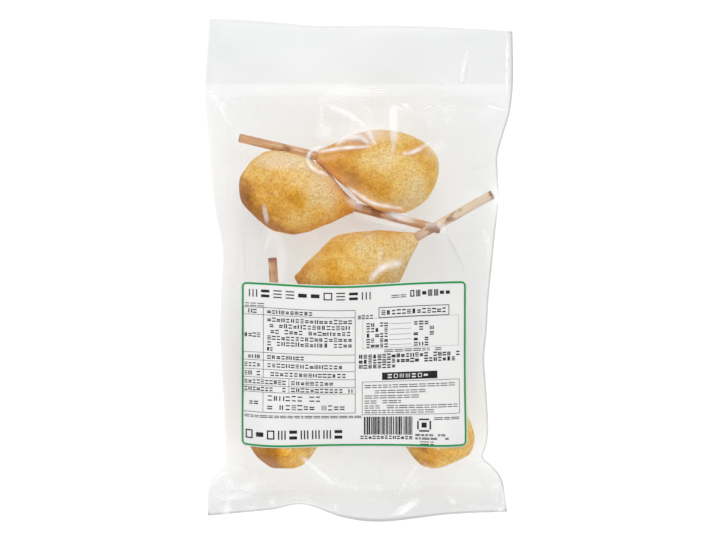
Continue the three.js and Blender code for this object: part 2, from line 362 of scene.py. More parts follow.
def addNode(owner, kind, output, settings=None, **links):
    # one node with its settings, by socket or property name, and links into its sockets, where i6
    # is the socket numbered 6. It gives one of the node's outputs, by name or number
    tree = owner.node_tree
    node = tree.nodes.new("ShaderNode" + kind)
    for name, value in (settings or {}).items():
        if isinstance(value, str) and value.startswith("#"):
            value = linearColour(value)
        if name == "stops":
            elements = node.color_ramp.elements
            while len(elements) < len(value):
                elements.new(0.5)
            for element, (position, hexText) in zip(elements, value):
                element.position = position
                element.color = linearColour(hexText)
        elif isinstance(name, int) or name in node.inputs:
            node.inputs[name].default_value = value
        else:
            setattr(node, name, value)
    for name, source in links.items():
        tree.links.new(source, node.inputs[int(name[1:]) if name[1:].isdigit() else name])
    return None if output is None else node.outputs[output]


def newMaterial(name):
    # an empty material, and what adds a node to it
    material = bpy.data.materials.new(name)
    material.use_nodes = True
    material.node_tree.nodes.clear()
    return material, partial(addNode, material)


batterFinish = {
    "patches": (19.0, 3.0, 0.5),  # browner and paler areas: millimetres, detail, roughness
    "mottle": (2.6, 4.0, 0.6),
    "grain": (0.9, 3.0, 0.6),  # of the fried skin
    "crumbMm": 0.85,
    "crumbShare": 0.16,  # of the crumbs in the grain
    "paintedShadeTone": 0.13,  # how much the painted shade darkens and browns the shaded side
    "tones": [(0.34, "#FFE8AC"), (0.49, "#FFD87A"), (0.64, "#F2B642"), (0.84, "#BE8024"),
              (1.0, "#7E5220")],
    "mottleTones": [(0.34, "#DDB45A"), (0.58, "#FFFFFF")],
    "grainTones": [(0.43, "#CC8A16"), (0.64, "#FFFFFF")],
    "roughness": 0.62,
}


def friedBatter():
    # deep-fried corn batter: a dry, fine-grained golden skin, browner where the oil bit;
    # painted shade darkens and browns one flank, and painted light pales some spots
    material, add = newMaterial("fried corn batter")
    finish = batterFinish
    place = add("TexCoord", "Object")
    patches, mottle, grain = (
        add("TexNoise", "Fac", {"Scale": 1 / (size * mm), "Detail": detail, "Roughness": rough},
            Vector=place)
        for size, detail, rough in (finish["patches"], finish["mottle"], finish["grain"]))
    crumbs = add("TexVoronoi", "Color", {"Scale": 1 / (finish["crumbMm"] * mm)}, Vector=place)
    crumb = add("SeparateColor", "Red", None, Color=crumbs)
    shadeSide, spots, neck = (add("Attribute", "Fac", {"attribute_name": name})
                         for name in ("flank", "tone", "neck"))
    # scorched spots and painted light spots, added to the patches
    spotted = add("Math", 0, {"operation": "ADD"}, i0=patches, i1=spots)
    # painted shade: the flank share moves the colour towards the browner tones
    toned = add("Math", 0, {"operation": "MULTIPLY_ADD", 1: finish["paintedShadeTone"]}, i0=shadeSide, i2=spotted)
    rough = add("Math", 0, {"operation": "MULTIPLY_ADD", 1: finish["crumbShare"]}, i0=crumb, i2=grain)
    # painted shade: the flank that faces away from the light is mixed towards a darker brown
    ragged = add("Math", 0, {"operation": "ADD"}, i0=shadeSide, i1=patches)
    flank = add("MapRange", 0, {"interpolation_type": "SMOOTHSTEP", "From Min": 0.88,
                "From Max": 1.40, "To Max": 0.8}, Value=ragged)
    colour, middle, fine = (
        add("ValToRGB", "Color", {"stops": finish[stops]}, i0=factor)
        for stops, factor in (("tones", toned), ("mottleTones", mottle), ("grainTones", rough)))
    for share, browningAndShadeColour in ((neck, "#F0AC38"), (flank, "#BC7A28")):
        colour = add("Mix", 2, {"data_type": "RGBA", 7: browningAndShadeColour}, i0=share, i6=colour)
    for share, layer in ((0.30, middle), (0.50, fine)):
        colour = add("Mix", 2, {"data_type": "RGBA", "blend_type": "MULTIPLY", "Factor": share},
                     i6=colour, i7=layer)
    relief = add("Bump", "Normal", {"Strength": 0.6, "Distance": 0.3 * mm}, Height=grain)
    shader = add("BsdfPrincipled", 0, {"Roughness": finish["roughness"], "Specular IOR Level": 0.08},
                 i0=colour, Normal=relief)
    add("OutputMaterial", None, None, Surface=shader)
    return material


woodFinish = {
    "fibresPerMm": (0.05, 1.4, 1.4),  # along and across the stick
    "blotchesPerMm": (0.11, 0.25, 0.25),
    "tones": [(0.36, "#C98E60"), (0.50, "#DFAD7E"), (0.64, "#EFCCA4")],
    "tip": {"From Min": -0.7, "From Max": 0.0, "To Max": 0.8},  # x from the end, in millimetres
    "oily": {"From Min": -43.0, "From Max": -32.0, "To Min": 0.55, "To Max": 0.0},
    "stain": {"interpolation_type": "SMOOTHSTEP", "From Min": 0.55, "From Max": 0.72, "To Max": 0.8},
    "dipShare": 0.22,
    "roughness": 0.55,
}


def splitWood():
    # round skewer of pale birch: long fine fibres, oil soaked in at the batter, a darker cut end
    material, add = newMaterial("birch stick")
    finish = woodFinish
    place = add("Attribute", "Vector", {"attribute_name": "stickPlace"})
    dipped, pale = (add("Attribute", "Fac", {"attribute_name": name}) for name in ("stain", "pale"))
    long = add("Mapping", 0, {"Scale": finish["fibresPerMm"]}, Vector=place)
    fibre = add("TexNoise", "Fac", {"Scale": 1.0, "Detail": 4.0, "Roughness": 0.6}, Vector=long)
    blotch = add("Mapping", 0, {"Scale": finish["blotchesPerMm"]}, Vector=place)
    soaked = add("TexNoise", "Fac", {"Scale": 1.0, "Detail": 3.0}, Vector=blotch)
    soak = add("Math", 0, {"operation": "MULTIPLY_ADD", 1: finish["dipShare"]}, i0=dipped, i2=soaked)
    along = add("SeparateXYZ", "X", None, Vector=place)
    tip, oily, stain = (
        add("MapRange", 0, finish[name], Value=value)
        for name, value in (("tip", along), ("oily", along), ("stain", soak)))
    colour = add("ValToRGB", "Color", {"stops": finish["tones"]}, i0=fibre)
    for share, tint in ((pale, "#F6E4CC"), (oily, "#B9713A"), (stain, "#9A5E35"), (tip, "#7E4630")):
        colour = add("Mix", 2, {"data_type": "RGBA", 7: tint}, i0=share, i6=colour)
    relief = add("Bump", "Normal", {"Strength": 0.3, "Distance": 0.15 * mm}, Height=fibre)
    shader = add("BsdfPrincipled", 0, {"Roughness": finish["roughness"], "Specular IOR Level": 0.4},
                 i0=colour, Normal=relief)
    add("OutputMaterial", None, None, Surface=shader)
    return material


filmFinish = {
    "facing": 0.024,  # what a thin film mirrors, seen square on
    "grazing": 0.9,  # and edge on
    "roughness": 0.13,
    "tint": "#FDFEFE",  # what one layer passes where it is flat
    "densityAndShadeTint": "#BBB9B9",  # and where it is fused to the other, or darkened by painted shade at creases, rims and the right
    "ribPitchMm": 0.8,  # of the lines embossed by the sealing jaws
    "ribVeil": 0.35,
    "hazePatchMm": 24.0,  # of uneven milkiness
    "haze": {"From Min": 0.35, "From Max": 0.65, "To Min": 0.8, "To Max": 1.15},
}


def clearFilm():
    # nylon and polyethylene laminate: clear where it clings, milky where it stands off, glossy, with
    # painted highlights along creases and patches and painted shade at creases, rims and the right
    material, add = newMaterial("clear laminate film")
    finish = filmFinish
    place = add("TexCoord", "Object")
    veil, ribbed, dense = (add("Attribute", "Fac", {"attribute_name": name})
                           for name in ("veil", "ribs", "dense"))
    patch = add("TexNoise", "Fac", {"Scale": 1 / (finish["hazePatchMm"] * mm), "Detail": 2.0,
                "Roughness": 0.5}, Vector=place)
    uneven = add("MapRange", 0, finish["haze"], Value=patch)
    cloudy = add("Math", 0, {"operation": "MULTIPLY"}, i0=uneven, i1=veil)
    # the node draws twenty radians of its wave in each unit of length
    ribs = add("TexWave", "Fac", {"wave_type": "BANDS", "bands_direction": "Y",
               "Scale": 2 * math.pi / (20 * finish["ribPitchMm"] * mm)}, Vector=place)
    lines = add("Math", 0, {"operation": "MULTIPLY"}, i0=ribs, i1=ribbed)
    milky = add("Math", 0, {"operation": "MULTIPLY_ADD", "use_clamp": True, 1: finish["ribVeil"]},
                i0=lines, i2=cloudy)
    # the denser tint stands for fused welds, and is painted shade at creases, rims and the right side
    passed = add("Mix", 2, {"data_type": "RGBA", 6: finish["tint"], 7: finish["densityAndShadeTint"]}, i0=dense)
    clear = add("BsdfTransparent", 0, None, Color=passed)
    white = add("BsdfDiffuse", 0, {"Color": "#FFFFFF"})
    # painted highlight: white mixed in along creases and patches, with the film's haze and rib lines
    body = add("MixShader", 0, None, i0=milky, i1=clear, i2=white)
    edgeOn = add("LayerWeight", "Facing", {"Blend": 0.5})
    steep = add("Math", 0, {"operation": "POWER", 1: 5.0}, i0=edgeOn)
    mirror = add("MapRange", 0, {"To Min": finish["facing"], "To Max": finish["grazing"]}, Value=steep)
    gloss = add("BsdfGlossy", 0, {"Roughness": finish["roughness"], "Color": "#FFFFFF"})
    surface = add("MixShader", 0, None, i0=mirror, i1=body, i2=gloss)
    add("OutputMaterial", None, None, Surface=surface)
    return material


def plainStock(name, cloudMm, stops, settings, toothMm=None):
    # a plain surface whose tone drifts between two stops, with a fine tooth if it has one
    material, add = newMaterial(name)
    place = add("TexCoord", "Object")
    cloud = add("TexNoise", "Fac", {"Scale": 1 / (cloudMm * mm), "Detail": 2.0}, Vector=place)
    links = {"i0": add("ValToRGB", "Color", {"stops": stops}, i0=cloud)}
    if toothMm:
        tooth = add("TexNoise", "Fac", {"Scale": 1 / (toothMm * mm), "Detail": 3.0}, Vector=place)
        links["Normal"] = add("Bump", "Normal", {"Strength": 0.15, "Distance": 0.05 * mm},
                              Height=tooth)
    shader = add("BsdfPrincipled", 0, settings, **links)
    add("OutputMaterial", None, None, Surface=shader)
    return material


# The film is held along its welds and side seams, and hangs over what is in the bag
filmShape = {
    "topWeld": 86.0,  # the header is the film beyond it
    "bottomWeld": -113.0,
    "halfWeld": 0.2,  # from the middle of the welded films to either face
    "seamHeights": [(-126, 2.4), (-113, 5), (-92, 10), (-40, 12), (40, 12), (72, 10.5), (86, 8.5),
                    (126, 4.2)],
    "bottomLift": 4.5,  # the bottom weld arches
    "bottomLiftX": -30,
    "bottomLiftWidth": 15,
    "bottomLiftFrom": 8,  # above the weld
    "bottomLiftOver": 14,
    "headerWave": 1.1,
    "headerWaveLength": 88.0,
    "headerWaveOver": 30,
    "rounds": [2400, 700, 500, 260],  # on the coarse grid and each finer one
    "puff": 0.05,  # trapped air lifts the upper film each coarse round
    "sag": 0.85,  # and the lower one falls to the floor
    "gap": 0.35,  # film over batter
    "floorGap": 0.15,
    "haze": 0.01,  # milkiness of the upper film where it stands off what is below
    "hazeGap": (1.0, 9.0),  # from clinging and clear to that
    "lowerHaze": 0.04,
    "leastGap": 0.3,  # between the two films
    "seamSlack": 0.25,  # share of the creases' height that is left at a side seam
    "seamReach": 5,
    "foldSlopes": (0.10, 0.9),  # of creases, from clear to fully darkened by painted shade
    "foldPaintedShade": 0.12,
    "densities": [(-126, 0.18), (-113, 0.17), (-103, 0.10), (-90, 0.07), (-60, 0.14), (81, 0.12),
                  (88, 0.185), (126, 0.19)],  # how much light one film stops, along the bag
    "rightPaintedShade": 0.03,  # painted shade added towards the right, from this share of the width
    "sideFrom": 0.4,
    "rimReach": 1.8,  # the outer edges curl down
    "rimDrop": 1.6,
    "rimLowest": (0.3, 0.5),  # of the lower and the upper film
    "rimPaintedShadow": (0.15, 1.0),  # and a painted shadow darkens them, most at the right and the bottom
    # rims this near the right seam or the bottom take the strongest painted shadow
    "shadowRimReach": 2,
    # of the sealing jaws' lines: left, right, low, high
    "ribBands": [(-13, 13.5, 86, 91.3), (-21, -15, 81.8, 86.6), (-77, -70.5, 85.6, 90)],
    "columns": 232,  # of the upper film's mesh, and the lower has half
    "rowSteps": [(-122, 0.75), (-113, 0.62), (-78, 0.62), (-70, 1.3), (10, 1.3), (20, 0.62),
                 (92, 0.62), (100, 1.0), (122, 1.0)],
}
labelShape = {
    "left": -58.0,
    "bottom": -85.4,
    "width": 110.0,
    "height": 80.5,
    "bow": 2.4,  # its top edge is drawn down in the middle
    "bowX": -12.0,
    "bowWidth": 34.0,
    "margin": 4.0,  # the film is held flat this far past it
    "rounds": 440,  # of bridging
    "smoothing": [0, 3, 6, 12],  # and of smoothing on each grid
    "gap": 0.75,  # of its underside over the bridged film
    "filmTop": 0.4,  # and the real film is held below that
    "thickness": 0.3,
    "corner": 2.4,
    "columns": 110,
    "rows": 84,
}

seamHeight = stationCurve(filmShape["seamHeights"])
filmDensity = stationCurve(filmShape["densities"])


def weldHeight(x, y):
    s = filmShape
    toBottom = np.clip((s["bottomWeld"] + s["bottomLiftFrom"] - y) / s["bottomLiftOver"], 0, 1)
    toHeader = np.clip((y - s["topWeld"]) / s["headerWaveOver"], 0, 1)
    wave = s["headerWave"] * np.sin(2 * math.pi * x / s["headerWaveLength"])
    lift = s["bottomLift"] * bump(x - s["bottomLiftX"], s["bottomLiftWidth"])
    return seamHeight(y) + toBottom * lift + toHeader * wave


def onLabel(x, y):
    s = labelShape
    inX = (x > s["left"] - s["margin"]) & (x < s["left"] + s["width"] + s["margin"])
    inY = (y > s["bottom"] - s["margin"]) & (y < s["bottom"] + s["height"] + s["margin"])
    return inX & inY


def settled(heights, stop, held, lift, rounds):
    # a soap film: each free point goes to the mean of its neighbours, and rests on its stop
    for _ in range(rounds):
        mean = (heights[:-2, 1:-1] + heights[2:, 1:-1] + heights[1:-1, :-2] + heights[1:-1, 2:]) / 4
        inner = np.maximum(mean + lift, stop[1:-1, 1:-1])
        heights[1:-1, 1:-1] = np.where(held[1:-1, 1:-1], heights[1:-1, 1:-1], inner)
    return heights


def finer(heights):
    # the same sheet on a grid with cells half as large
    for _ in range(2):
        coarse = heights.transpose()
        heights = np.empty((2 * len(coarse) - 1, coarse.shape[1]))
        heights[::2] = coarse
        heights[1::2] = (coarse[:-1] + coarse[1:]) / 2
    return heights


def reliefGrid(points, shares, levels, sign):
    # the highest of the points over each node of a grid, or the lowest where sign is -1, spread
    # by one cell
    columns, rows = len(shares), len(levels)
    left, right = leftSeam(points[:, 1]), rightSeam(points[:, 1])
    share = (points[:, 0] - left) / (right - left)
    level = (points[:, 1] - levels[0]) / (levels[-1] - levels[0])
    column = np.clip(np.rint(share * (columns - 1)).astype(int), 1, columns - 2)
    row = np.clip(np.rint(level * (rows - 1)).astype(int), 1, rows - 2)
    grid = np.full((rows, columns), -1e3)
    for down in (-1, 0, 1):
        for aside in (-1, 0, 1):
            np.maximum.at(grid, (row + down, column + aside), sign * points[:, 2])
    return sign * grid


def settleFilm(contents):
    # both films, and the sheet that bridges the dips under the label, on the finest grid
    s, outline = filmShape, bagOutline
    last = len(s["rounds"]) - 1
    fineShares = np.linspace(0, 1, outline["across"] * 2 ** last + 1)
    fineLevels = np.linspace(outline["rowLow"], outline["rowHigh"], outline["along"] * 2 ** last + 1)
    allTops = np.maximum(reliefGrid(contents, fineShares, fineLevels, 1) + s["gap"], 0)
    allBottoms = reliefGrid(contents, fineShares, fineLevels, -1) - s["gap"]
    for stage, rounds in enumerate(s["rounds"]):
        step = 2 ** (last - stage)
        gridShare, gridLevel = np.meshgrid(fineShares[::step], fineLevels[::step])
        tops, bottoms = allTops[::step, ::step], allBottoms[::step, ::step]
        x, y = outlinePoint(gridShare, gridLevel)
        weld = weldHeight(x, y)
        held = (gridLevel >= s["topWeld"]) | (gridLevel <= s["bottomWeld"])
        held |= (gridShare <= 0) | (gridShare >= 1)
        label = onLabel(x, y)
        if stage == 0:
            upper, lower = weld + s["halfWeld"], weld - s["halfWeld"]
            upper = settled(upper, tops, held, s["puff"], rounds)
            bridged = upper.copy()
            for _ in range(labelShape["rounds"]):
                bridged = settled(bridged, bridged.copy(), held | ~label, 0, 1)
        else:
            upper, lower, bridged = finer(upper), finer(lower), finer(bridged)
            bridged = settled(bridged, np.zeros_like(bridged), held, 0, labelShape["smoothing"][stage])
            upper[held] = (weld + s["halfWeld"])[held]
            lower[held] = (weld - s["halfWeld"])[held]
            stop = np.where(label, np.maximum(tops, bridged), tops)
            upper = settled(upper, stop, held, s["puff"] / 4 ** stage, rounds)
        ground = np.full_like(lower, s["floorGap"])
        lower = settled(lower, ground, held, -s["sag"] / 4 ** stage, rounds)
        lower = np.where(held, lower, np.minimum(lower, np.maximum(bottoms, s["floorGap"])))
    return {"upper": upper, "lower": lower, "bridged": bridged, "tops": allTops}


def readGrid(heights, share, level):
    # bilinear reading of a settled sheet
    rows, columns = heights.shape
    low, high = bagOutline["rowLow"], bagOutline["rowHigh"]
    column = np.clip(share * (columns - 1), 0, columns - 1.001)
    row = np.clip((level - low) / (high - low) * (rows - 1), 0, rows - 1.001)
    i, j = column.astype(int), row.astype(int)
    u, v = column - i, row - j
    near = heights[j, i] * (1 - u) + heights[j, i + 1] * u
    far = heights[j + 1, i] * (1 - u) + heights[j + 1, i + 1] * u
    return near * (1 - v) + far * v


# Creases: the points that each runs through, how far it stands proud, its half width, the share of
# white painted along it as a painted highlight, and how dense it is where a painted shade darkens it.
creases = [
    # from the corner of the top weld down the left
    ([(-73.4, 86.8), (-68, 78.6), (-63, 70.6)], 0.6, 1.3, 0.58, 0),
    ([(-74.6, 87.4), (-71, 84.8), (-67.4, 82)], 0.6, 1.3, 0.48, 0),
    ([(-63.6, 85.1), (-61.1, 83.1), (-58.7, 84.6), (-55.7, 83.6)], 0.4, 1.1, 0.3, 0),
    # fan from the middle of the top weld
    ([(-16.5, 81), (-9.1, 77.5), (-2.2, 73.6), (3.9, 68.7)], 1, 2, 0.76, 0),
    ([(-19, 82.2), (-18.7, 76.2), (-19, 68.9)], 0.7, 1.4, 0.39, 0),
    ([(3.8, 67.2), (5.5, 63.8), (7.4, 60)], 0.5, 1.5, 0.76, 0),
    ([(0.2, 81.1), (4.2, 79.2), (5.6, 75.2), (3.2, 70.4)], 0.6, 1.4, 0.3, 0),
    ([(15.8, 82.1), (16, 74.3), (16.4, 64)], 0.6, 1.6, 0.4, 0),
    ([(16.3, 81.6), (19, 79.4), (23.4, 78.9)], 0.7, 1.2, 0.67, 0),
    ([(31.8, 78.9), (33.8, 80.6), (36.3, 79.4)], 0.6, 1.1, 0.58, 0),
    ([(36.3, 79.4), (38.7, 80.9), (41.2, 78.9), (43.7, 80.6), (47.6, 80.4)], 0.6, 1.1, 0.48, 0),
    ([(34.6, 77.1), (33.8, 73.6), (35.4, 70.2)], 0.5, 2.6, 0.3, 0),
    ([(40.6, 71.4), (44.2, 74.2), (45.8, 77.6)], 0.5, 1.6, 0.25, 0),
    ([(63.1, 81.4), (68.1, 79.6), (73.5, 79.2)], 0.6, 1.1, 0.58, 0),
    # header
    ([(52.3, 105.1), (51.3, 99.2), (49.9, 92.2)], 0.7, 1.7, 0.58, 0),
    ([(53.3, 109.1), (52.8, 105.1)], 0.4, 1.2, 0.3, 0),
    ([(40.4, 94.2), (41.4, 92.2)], 0.4, 1.2, 0.39, 0),
    ([(73.4, 117), (73, 104), (72.2, 88)], 0.3, 0.8, 0.95, 0),
    # over and round the upper corn dogs
    ([(-18, 60.1), (-23.3, 57.7), (-25, 53.4), (-22.9, 49), (-15.2, 45.2)], 0.8, 1.3, 0.95, 0),
    ([(-20.3, 56.8), (-13.1, 58.2), (-4.5, 59), (5.5, 59.2)], 0.7, 1.3, 0.98, 0),
    ([(-11.7, 60.4), (-6.9, 63.6), (-0.7, 64.2), (4.6, 60.6)], 0.5, 1.9, 0.8, 0),
    ([(20.3, 55.5), (27, 57.3), (34.2, 62.1)], 0.5, 1.5, 0.9, 0),
    ([(16, 60.6), (15.5, 56.3)], 0.3, 1, 0.58, 0),
    ([(-6.6, 40.2), (-1.2, 36.4), (7.1, 31.6), (20.8, 29.4)], 0.5, 1.3, 0.8, 0),
    ([(-2.2, 25.9), (12.5, 22), (24.7, 20)], 0.5, 1.4, 0.4, 0),
    ([(4.5, -5.3), (8.4, -0.5), (13.6, 2.3), (20.4, 3.3)], 0.8, 2.4, 0.95, 0),
    ([(31.2, 21.2), (37, 22.2), (41.8, 18.3)], 0.6, 2.2, 0.58, 0),
    # down the sides
    ([(64.7, 35.9), (66.2, 31)], 0.5, 1.3, 0.76, 0),
    ([(60.4, 20.7), (61.4, 12.3)], 0.5, 1.2, 0.48, 0),
    ([(63.4, 18.7), (62.4, 3.9)], 0.5, 1.1, 0.39, 0),
    ([(41.5, 17.6), (46.4, 8.8), (51.8, -1.5)], -0.9, 1, 0, 0.4),
    ([(-55.9, 16.7), (-56.4, 5.9), (-55.4, -5.5)], -0.4, 1.2, 0, 0.25),
    ([(-51.9, 18.7), (-52.4, -5.5)], 0.4, 1.3, 0.11, 0),
    ([(-59, 13.3), (-54.5, 19.7)], -0.4, 1.2, 0, 0.2),
    # lower end
    ([(-28.1, -89.8), (-20.1, -98.2), (-11.6, -106.6)], 1.1, 2, 0.5, 0),
    ([(-20.5, -95), (-14.6, -99.4), (-5.2, -106.8)], 0.5, 1.4, 0.15, 0),
    ([(27.7, -94.5), (23.4, -102.5), (19, -111.6)], 0.8, 1.3, 0.7, 0),
    ([(31.8, -92.8), (32.9, -99.7), (33, -104.6)], 0.5, 1.6, 0.2, 0),
    ([(-4.7, -110.2), (-2.2, -108.2), (-0.2, -111.2)], 0.4, 1.2, 0.39, 0),
    ([(8.2, -105.2), (10.7, -109.2)], 0.4, 1.3, 0.48, 0),
    ([(-74.7, -102.5), (-70, -98.8), (-65.2, -97), (-56.2, -98.4)], 0.6, 1.8, 0.3, 0),
    ([(-70.5, -107), (-65.1, -105.5), (-57.2, -107), (-50.7, -105.5)], 0.6, 1.9, 0.25, 0),
    ([(-69.8, -120.7), (-67.3, -117.3), (-63.8, -114.3)], 0.6, 2.2, 0.3, 0),
    ([(-75.2, -110.3), (-72.8, -106.3), (-68.3, -103.4)], 0.5, 1.8, 0.3, 0),
    ([(-48.4, -113.3), (-44.5, -114.8), (-40.5, -115.8)], 0.5, 1.4, 0.2, 0),
    ([(-35.2, -113.9), (-30, -112.7), (-24.6, -114.4)], 0.4, 1.3, 0.5, 0),
    ([(-35.8, -116), (-30, -115), (-24.4, -116.2)], 0.3, 1, 0.4, 0),
    ([(15.1, -121.6), (21.1, -118.6), (26, -117.6)], 0.6, 2, 0.3, 0),
    ([(42.9, -109.7), (45.4, -114.2), (48.9, -116.6)], 0.5, 1.4, 0.4, 0),
    ([(51, -117), (60, -117.8), (68, -117.6)], 0.3, 1.1, 0.4, 0),
    ([(63.3, -107.2), (67.2, -111.2), (69.7, -117.1)], 0.6, 1.5, 0.35, 0),
    ([(57.6, -90), (63, -93.5), (68.5, -98.9)], 0.9, 2.2, 0.3, 0),
    ([(54.6, -95), (60.6, -93), (59.1, -90)], 0.5, 1.6, 0.2, 0),
]
creaseShape = {
    "step": 0.8,  # between the points of its line
    "reach": 3.0,  # how many half widths away it is still felt
    "endFade": 0.85,  # how much of it is gone at its ends
    "riseShare": 0.75,
    "riseWidth": 1.15,  # shares of the half width
    "lineWidth": 0.72,
    "lineTaper": 0.6,  # the painted highlight's line is thinner where it fades
    "flicker": 0.2,
}
fineCreases = {
    "seed": 5,
    "count": 90,
    "x": (-66, 62),
    "y": (-112, 84),
    "centre": -10,  # they fan out from this height
    "fan": 0.5,
    "stray": 0.5,  # radians off that lead
    "bend": 0.12,  # of the middle, as a share of the length
    "length": (6.0, 22.0),
    "height": (0.08, 0.32),
    "width": (0.9, 2.0),
    # painted highlight along each faint crease
    "veil": 0.04,
}
slack = {
    "seed": 17,
    "waves": 14,
    "pitch": (16, 42),
    "height": 0.0022,  # share of the pitch
    "bend": 0.8,  # in radians, and how it changes with x and y
    "bendLead": (0.05, 0.04),
}
# Wider patches of painted highlight, white painted on the film where its glare whitens what is
# below: x, y, half length, half width, lead of the long side, whitening, and how soft the edge is
# as a share of the half size.
paintedHighlightPatches = [
    (2, 66, 22, 7.5, 4, 0.4, 1),
    (-39, 52, 17, 5.5, -3, 0.26, 0.9),
    (-7.5, 77.5, 11.5, 2.2, -31, 0.45, 0.8),
    (-45.5, 27, 1.6, 6, 12, 0.45, 0.7),
    (9.5, 6, 1.8, 7, -8, 0.22, 0.8),
    (-2.5, 32, 6.5, 3.4, -32, 0.4, 1),
    (37, 59, 9, 4, 28, 0.35, 0.9),
    (19.5, 25.3, 9.5, 2.4, -14, 0.55, 0.8),
    (16.3, 70.5, 2.6, 13.5, 0, 0.62, 0.5),
    (-17.2, 67.5, 7, 7, 0, 0.45, 1),
    (-6, 86.5, 13.5, 5, 0, 0.22, 0.4),
    (22.5, 81, 3.4, 1.4, -20, 0.7, 0.7),
    (-20.3, -98.3, 12.4, 1.5, -45.5, 0.9, 0.5),
    (27, -103.5, 4.8, 9.5, -18, 0.3, 0.9),
    (23.5, -118, 8.8, 3.2, 32, 0.9, 0.8),
    (-64.9, -106.8, 2.2, 5.4, -8, 0.9, 0.8),
    (-54.6, -107.8, 5, 3.4, 8, 0.8, 0.9),
    (-62.5, -112.3, 12.5, 3.1, 3, 0.95, 0.9),
    (-66.4, -119.3, 2.5, 4.2, -16, 0.95, 0.8),
    (-54, -118.7, 3.8, 1.8, 6, 0.5, 0.9),
    (-43.7, -115.2, 2.2, 2.8, 0, 0.75, 0.9),
    (-12.2, -118, 1.4, 3, -10, 0.55, 0.9),
    (46.2, -115, 2.8, 2.4, -35, 0.6, 0.9),
    (67.2, -107.2, 3.4, 2.6, -20, 0.6, 0.9),
    (71.6, -113.5, 1.7, 8, 4, 0.6, 0.8),
    (69.8, -119.2, 2.6, 1.8, 0, 0.85, 0.8),
]


def paintedHighlightOfPatches(x, y):
    veil = np.zeros_like(x)
    for atX, atY, halfLong, halfWide, turn, highlightWhite, soft in paintedHighlightPatches:
        lead = math.radians(turn)
        dx, dy = x - atX, y - atY
        along = np.abs(dx * math.cos(lead) + dy * math.sin(lead)) / halfLong
        across = np.abs(dy * math.cos(lead) - dx * math.sin(lead)) / halfWide
        out = (along ** 3 + across ** 3) ** (1 / 3)
        # painted highlight: white over each patch
        veil = np.maximum(veil, highlightWhite * (1 - smoothStep(1 - soft, 1, out)))
    return veil


def looseCreases():
    # short faint creases that run from the corn dogs towards the welds, as a slack film has
    s = fineCreases
    draw = random.Random(s["seed"])
    found = []
    while len(found) < s["count"]:
        x, y = draw.uniform(*s["x"]), draw.uniform(*s["y"])
        lead = math.atan2(y - s["centre"], x * s["fan"]) + draw.gauss(0, s["stray"])
        half = draw.uniform(*s["length"]) / 2
        aside = draw.gauss(0, s["bend"]) * half
        ends = [(x - half * math.cos(lead), y - half * math.sin(lead)),
                (x - aside * math.sin(lead), y + aside * math.cos(lead)),
                (x + half * math.cos(lead), y + half * math.sin(lead))]
        found.append((ends, draw.uniform(*s["height"]), draw.uniform(*s["width"]), s["veil"], 0))
    return found


def creaseRelief(x, y):
    # the height, the painted highlight and the painted shade that all creases give at each point
    s = creaseShape
    rise, veil, shade = np.zeros_like(x), np.zeros_like(x), np.zeros_like(x)
    flicker = np.sin(0.7 * x + 0.3 * y) * np.sin(0.25 * x - 0.8 * y)
    for stations, height, width, highlightWhite, dense in creases + looseCreases():
        length = np.linalg.norm(np.diff(np.array(stations, float), axis=0), axis=1).sum()
        run = smoothLine(stations, max(4, int(length / s["step"])))
        reach = s["reach"] * width
        near = np.flatnonzero((x > run[:, 0].min() - reach) & (x < run[:, 0].max() + reach)
                              & (y > run[:, 1].min() - reach) & (y < run[:, 1].max() + reach))
        if not len(near):
            continue
        best, place = np.full(len(near), 1e9), np.zeros(len(near))
        for k, (a, b) in enumerate(zip(run[:-1], run[1:])):
            along = b - a
            t = np.clip(((x[near] - a[0]) * along[0] + (y[near] - a[1]) * along[1])
                        / (along @ along), 0, 1)
            gone = np.hypot(x[near] - a[0] - t * along[0], y[near] - a[1] - t * along[1])
            closer = gone < best
            best[closer] = gone[closer]
            place[closer] = (k + t[closer]) / (len(run) - 1)
        middle = np.sqrt(np.clip(4 * place * (1 - place), 0, 1))
        fade = middle * s["endFade"] + (1 - s["endFade"])
        rise[near] += s["riseShare"] * height * fade * bump(best, s["riseWidth"] * width)
        line = bump(best, s["lineWidth"] * width * (1 - s["lineTaper"] + s["lineTaper"] * fade))
        streak = fade * line * (1 - s["flicker"] + s["flicker"] * flicker[near])
        # painted highlight: white along the crease
        veil[near] = np.maximum(veil[near], highlightWhite * streak)
        # painted shade along the crease
        shade[near] = np.maximum(shade[near], dense * fade * line)
    return rise, veil, shade


def slackRelief(x, y):
    # slow unevenness of a film that is nowhere quite taut
    rise = np.zeros_like(x)
    draw = random.Random(slack["seed"])
    bendX, bendY = slack["bendLead"]
    for _ in range(slack["waves"]):
        lead, pitch = draw.uniform(0, math.pi), draw.uniform(*slack["pitch"])
        phase = draw.uniform(0, 2 * math.pi)
        wave = (x * math.cos(lead) + y * math.sin(lead)) * 2 * math.pi / pitch + phase
        bent = wave + slack["bend"] * np.sin(bendX * x + bendY * y + phase)
        rise += slack["height"] * pitch * np.sin(bent)
    return rise


def rowLevels():
    # rows lie closer together where the film creases most
    low, high = bagOutline["rowLow"], bagOutline["rowHigh"]
    stations, steps = zip(*filmShape["rowSteps"])
    levels = [low]
    while levels[-1] < high:
        levels.append(levels[-1] + np.interp(levels[-1], stations, steps))
    levels = np.array(levels)
    levels = low + (levels - low) * (high - low) / (levels[-1] - low)
    oddCells = len(levels) % 2 == 0  # the lower film has half the rows
    return np.append(levels[:-2], [levels[-1]]) if oddCells else levels


